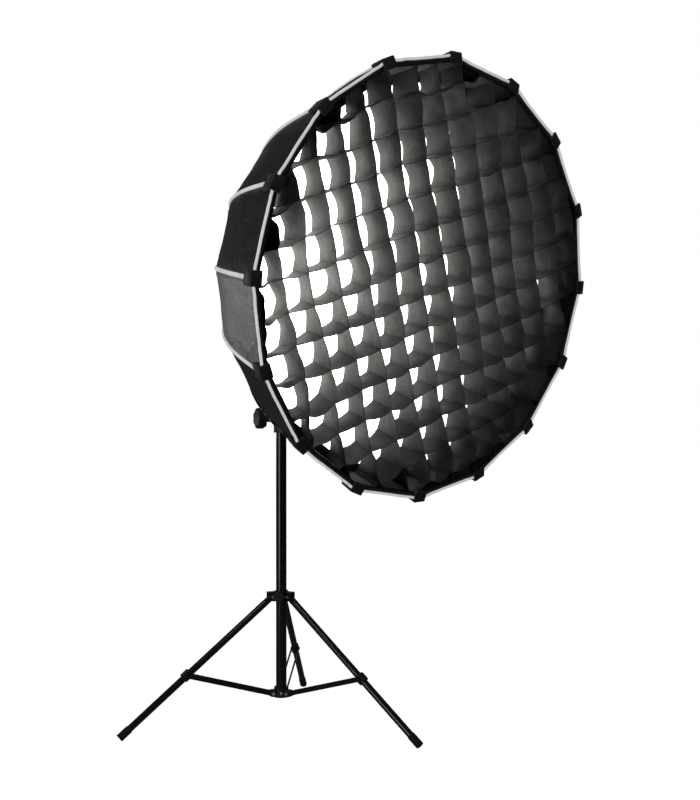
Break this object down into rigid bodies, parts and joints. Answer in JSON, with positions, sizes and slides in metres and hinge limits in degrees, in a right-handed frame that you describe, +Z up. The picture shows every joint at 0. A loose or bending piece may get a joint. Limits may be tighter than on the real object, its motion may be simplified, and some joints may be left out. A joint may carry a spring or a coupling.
{
  "type": "softbox lamp on light stand",
  "caption": "Deep parabolic softbox with fabric grid on a tilting lamp head, carried by a telescopic light stand with folding legs.",
  "frame": {"origin": "bottom centre of the object's bounding box, on the floor", "axes": "+Z up; the light faces -Y, tilted down; +X to the right seen from the front"},
  "size_m": [0.9088, 0.9042, 1.4355],
  "materials": {
    "black_tube": "gloss black coated tube",
    "black_casting": "moulded black nylon",
    "knob_plastic": "textured black",
    "rubber": "matt",
    "steel": "bright zinc",
    "lamp_body": "satin black",
    "lamp_plastic": "fine texture",
    "aluminium": "machined",
    "led": "phosphor",
    "display_glass": "gloss",
    "rib_steel": "coated spring steel",
    "black_cloth": "satin nylon",
    "grid_cloth": "matt woven",
    "diffuser_cloth": "white translucent"
  },
  "bodies": {
    "column": {"lower_tube": "black_tube", "bottom_hub": "black_casting", "hub_rivets": "steel", "lower_collar": "black_casting"},
    "lower_lock_knob": {"lower_lock_knob": "knob_plastic"},
    "mid_section": {"mid_tube": "black_tube", "mid_collar": "black_casting"},
    "mid_lock_knob": {"mid_lock_knob": "knob_plastic"},
    "top_section": {"top_tube": "black_tube", "spigot": "steel"},
    "yoke": {"receiver": "lamp_body", "yoke": "lamp_body"},
    "receiver_knob": {"receiver_knob": "knob_plastic"},
    "tilt_knob": {"tilt_knob": "knob_plastic"},
    "lamp": {"housing": "lamp_body", "tilt_pins": "steel", "bayonet_plate": "aluminium", "led_module": "aluminium", "rear_panel": "lamp_plastic", "display": "display_glass", "inlet": "lamp_plastic"},
    "fan": {"fan": "lamp_plastic"},
    "dial": {"dial": "knob_plastic"},
    "power_switch": {"power_switch": "knob_plastic"},
    "softbox": {"mount_ring": "aluminium", "speed_ring": "lamp_body", "hinge_pins": "steel", "outer_shell": "black_cloth", "front_band": "black_cloth", "front_diffuser": "diffuser_cloth", "grid": "grid_cloth", "tip_pockets": "black_cloth"},
    "leg_collar": {"leg_collar": "black_casting", "collar_rivets": "steel"},
    "collar_knob": {"collar_knob": "knob_plastic"},
    "rib_01": {"rib_01": "rib_steel"},
    "rib_02": {"rib_02": "rib_steel"},
    "rib_03": {"rib_03": "rib_steel"},
    "rib_04": {"rib_04": "rib_steel"},
    "rib_05": {"rib_05": "rib_steel"},
    "rib_06": {"rib_06": "rib_steel"},
    "rib_07": {"rib_07": "rib_steel"},
    "rib_08": {"rib_08": "rib_steel"},
    "rib_09": {"rib_09": "rib_steel"},
    "rib_10": {"rib_10": "rib_steel"},
    "rib_11": {"rib_11": "rib_steel"},
    "rib_12": {"rib_12": "rib_steel"},
    "rib_13": {"rib_13": "rib_steel"},
    "rib_14": {"rib_14": "rib_steel"},
    "rib_15": {"rib_15": "rib_steel"},
    "rib_16": {"rib_16": "rib_steel"},
    "leg_1": {"leg_1": "black_tube", "leg_tip_1": "rubber"},
    "brace_1": {"brace_1": "black_tube"},
    "leg_2": {"leg_2": "black_tube", "leg_tip_2": "rubber"},
    "brace_2": {"brace_2": "black_tube"},
    "leg_3": {"leg_3": "black_tube", "leg_tip_3": "rubber"},
    "brace_3": {"brace_3": "black_tube"}
  },
  "joints": [
    {"name": "mid_slide", "type": "slide", "parent": "column", "child": "mid_section", "axis": [0, 0, 1], "range_m": [-0.06, 0.38]},
    {"name": "lower_knob_turn", "type": "hinge", "parent": "column", "child": "lower_lock_knob", "pos_m": [0, 0.17102, 0.72], "axis": [-0.9659, 0.2588, 0], "range_deg": [-180, 180]},
    {"name": "top_slide", "type": "slide", "parent": "mid_section", "child": "top_section", "axis": [0, 0, 1], "range_m": [-0.015, 0.28]},
    {"name": "mid_knob_turn", "type": "hinge", "parent": "mid_section", "child": "mid_lock_knob", "pos_m": [0, 0.17102, 0.858], "axis": [-0.9659, 0.2588, 0], "range_deg": [-180, 180]},
    {"name": "lamp_swivel", "type": "hinge", "parent": "top_section", "child": "yoke", "pos_m": [0, 0.17102, 0.904], "axis": [0, 0, 1], "continuous": true},
    {"name": "receiver_knob_turn", "type": "hinge", "parent": "yoke", "child": "receiver_knob", "pos_m": [0, 0.17102, 0.9217], "axis": [1, 0, 0], "range_deg": [-180, 180]},
    {"name": "tilt_knob_turn", "type": "hinge", "parent": "yoke", "child": "tilt_knob", "pos_m": [0, 0.17102, 1.09], "axis": [1, 0, 0], "range_deg": [-60, 60]},
    {"name": "lamp_tilt", "type": "hinge", "parent": "yoke", "child": "lamp", "pos_m": [0, 0.17102, 1.09], "axis": [1, 0, 0], "range_deg": [-40, 15]},
    {"name": "fan_spin", "type": "hinge", "parent": "lamp", "child": "fan", "pos_m": [0, 0.24375, 1.10366], "axis": [0, 0.9828, 0.1846], "continuous": true},
    {"name": "dial_turn", "type": "hinge", "parent": "lamp", "child": "dial", "pos_m": [0.034, 0.26855, 1.14495], "axis": [0, 0.9828, 0.1846], "range_deg": [-150, 150]},
    {"name": "power_rock", "type": "hinge", "parent": "lamp", "child": "power_switch", "pos_m": [0.042, 0.28246, 1.0682], "axis": [0, -0.1846, 0.9828], "range_deg": [-18, 0]},
    {"name": "mount_twist", "type": "hinge", "parent": "lamp", "child": "softbox", "pos_m": [0, 0.03957, 1.0653], "axis": [0, -0.9828, -0.1846], "range_deg": [0, 20]},
    {"name": "rib_fold_01", "type": "hinge", "parent": "softbox", "child": "rib_01", "pos_m": [-0.00553, 0.02206, 1.15851], "axis": [0.9983, -0.0108, 0.0573], "range_deg": [0, 36], "deforming": ["outer_shell", "front_band", "front_diffuser", "grid", "tip_pockets"]},
    {"name": "rib_fold_02", "type": "hinge", "parent": "softbox", "child": "rib_02", "pos_m": [0.03118, 0.023, 1.1535], "axis": [0.9446, 0.0606, -0.3226], "range_deg": [0, 36]},
    {"name": "rib_fold_03", "type": "hinge", "parent": "softbox", "child": "rib_03", "pos_m": [0.06315, 0.02647, 1.13506], "axis": [0.7471, 0.1227, -0.6533], "range_deg": [0, 36]},
    {"name": "rib_fold_04", "type": "hinge", "parent": "softbox", "child": "rib_04", "pos_m": [0.0855, 0.03193, 1.106], "axis": [0.4359, 0.1662, -0.8845], "range_deg": [0, 36]},
    {"name": "rib_fold_05", "type": "hinge", "parent": "softbox", "child": "rib_05", "pos_m": [0.09484, 0.03855, 1.07074], "axis": [0.0583, 0.1843, -0.9811], "range_deg": [0, 36]},
    {"name": "rib_fold_06", "type": "hinge", "parent": "softbox", "child": "rib_06", "pos_m": [0.08974, 0.04533, 1.03466], "axis": [-0.3282, 0.1744, -0.9284], "range_deg": [0, 36]},
    {"name": "rib_fold_07", "type": "hinge", "parent": "softbox", "child": "rib_07", "pos_m": [0.07097, 0.05123, 1.00324], "axis": [-0.6647, 0.1379, -0.7343], "range_deg": [0, 36]},
    {"name": "rib_fold_08", "type": "hinge", "parent": "softbox", "child": "rib_08", "pos_m": [0.04141, 0.05536, 0.98127], "axis": [-0.9, 0.0805, -0.4284], "range_deg": [0, 36]},
    {"name": "rib_fold_09", "type": "hinge", "parent": "softbox", "child": "rib_09", "pos_m": [0.00553, 0.05708, 0.9721], "axis": [-0.9983, 0.0108, -0.0573], "range_deg": [0, 36]},
    {"name": "rib_fold_10", "type": "hinge", "parent": "softbox", "child": "rib_10", "pos_m": [-0.03118, 0.05614, 0.97711], "axis": [-0.9446, -0.0606, 0.3226], "range_deg": [0, 36]},
    {"name": "rib_fold_11", "type": "hinge", "parent": "softbox", "child": "rib_11", "pos_m": [-0.06315, 0.05267, 0.99555], "axis": [-0.7471, -0.1227, 0.6533], "range_deg": [0, 36]},
    {"name": "rib_fold_12", "type": "hinge", "parent": "softbox", "child": "rib_12", "pos_m": [-0.0855, 0.04722, 1.02461], "axis": [-0.4359, -0.1662, 0.8845], "range_deg": [0, 36]},
    {"name": "rib_fold_13", "type": "hinge", "parent": "softbox", "child": "rib_13", "pos_m": [-0.09484, 0.04059, 1.05987], "axis": [-0.0583, -0.1843, 0.9811], "range_deg": [0, 36]},
    {"name": "rib_fold_14", "type": "hinge", "parent": "softbox", "child": "rib_14", "pos_m": [-0.08974, 0.03381, 1.09595], "axis": [0.3282, -0.1744, 0.9284], "range_deg": [0, 36]},
    {"name": "rib_fold_15", "type": "hinge", "parent": "softbox", "child": "rib_15", "pos_m": [-0.07097, 0.02791, 1.12737], "axis": [0.6647, -0.1379, 0.7343], "range_deg": [0, 36]},
    {"name": "rib_fold_16", "type": "hinge", "parent": "softbox", "child": "rib_16", "pos_m": [-0.04141, 0.02378, 1.14934], "axis": [0.9, -0.0805, 0.4284], "range_deg": [0, 36]},
    {"name": "collar_slide", "type": "slide", "parent": "column", "child": "leg_collar", "axis": [0, 0, 1], "range_m": [0, 0.15]},
    {"name": "collar_knob_turn", "type": "hinge", "parent": "leg_collar", "child": "collar_knob", "pos_m": [0, 0.17102, 0.2991], "axis": [-0.7071, -0.7071, 0], "range_deg": [-180, 180]},
    {"name": "leg_hinge_1", "type": "hinge", "parent": "leg_collar", "child": "leg_1", "pos_m": [0.00621, 0.14784, 0.2981], "axis": [0.9659, 0.2588, 0], "range_deg": [0, 17.23]},
    {"name": "brace_hinge_1", "type": "hinge", "parent": "column", "child": "brace_1", "pos_m": [0.00621, 0.14784, 0.0715], "axis": [0.9659, 0.2588, 0], "range_deg": [-30.36, 0]},
    {"name": "leg_hinge_2", "type": "hinge", "parent": "leg_collar", "child": "leg_2", "pos_m": [0.01697, 0.18799, 0.2981], "axis": [-0.7071, 0.7071, 0], "range_deg": [0, 17.23]},
    {"name": "brace_hinge_2", "type": "hinge", "parent": "column", "child": "brace_2", "pos_m": [0.01697, 0.18799, 0.0715], "axis": [-0.7071, 0.7071, 0], "range_deg": [-30.36, 0]},
    {"name": "leg_hinge_3", "type": "hinge", "parent": "leg_collar", "child": "leg_3", "pos_m": [-0.02318, 0.17723, 0.2981], "axis": [-0.2588, -0.9659, 0], "range_deg": [0, 17.23]},
    {"name": "brace_hinge_3", "type": "hinge", "parent": "column", "child": "brace_3", "pos_m": [-0.02318, 0.17723, 0.0715], "axis": [-0.2588, -0.9659, 0], "range_deg": [-30.36, 0]}
  ],
  "couplings": [
    {"joint": "rib_fold_02", "follows": "rib_fold_01", "ratio": 1},
    {"joint": "rib_fold_03", "follows": "rib_fold_01", "ratio": 1},
    {"joint": "rib_fold_04", "follows": "rib_fold_01", "ratio": 1},
    {"joint": "rib_fold_05", "follows": "rib_fold_01", "ratio": 1},
    {"joint": "rib_fold_06", "follows": "rib_fold_01", "ratio": 1},
    {"joint": "rib_fold_07", "follows": "rib_fold_01", "ratio": 1},
    {"joint": "rib_fold_08", "follows": "rib_fold_01", "ratio": 1},
    {"joint": "rib_fold_09", "follows": "rib_fold_01", "ratio": 1},
    {"joint": "rib_fold_10", "follows": "rib_fold_01", "ratio": 1},
    {"joint": "rib_fold_11", "follows": "rib_fold_01", "ratio": 1},
    {"joint": "rib_fold_12", "follows": "rib_fold_01", "ratio": 1},
    {"joint": "rib_fold_13", "follows": "rib_fold_01", "ratio": 1},
    {"joint": "rib_fold_14", "follows": "rib_fold_01", "ratio": 1},
    {"joint": "rib_fold_15", "follows": "rib_fold_01", "ratio": 1},
    {"joint": "rib_fold_16", "follows": "rib_fold_01", "ratio": 1},
    {"joint": "leg_hinge_1", "follows": "collar_slide", "rad_per_m": 2.004},
    {"joint": "brace_hinge_1", "follows": "collar_slide", "rad_per_m": -3.5319},
    {"joint": "leg_hinge_2", "follows": "collar_slide", "rad_per_m": 2.004},
    {"joint": "brace_hinge_2", "follows": "collar_slide", "rad_per_m": -3.5319},
    {"joint": "leg_hinge_3", "follows": "collar_slide", "rad_per_m": 2.004},
    {"joint": "brace_hinge_3", "follows": "collar_slide", "rad_per_m": -3.5319}
  ]
}
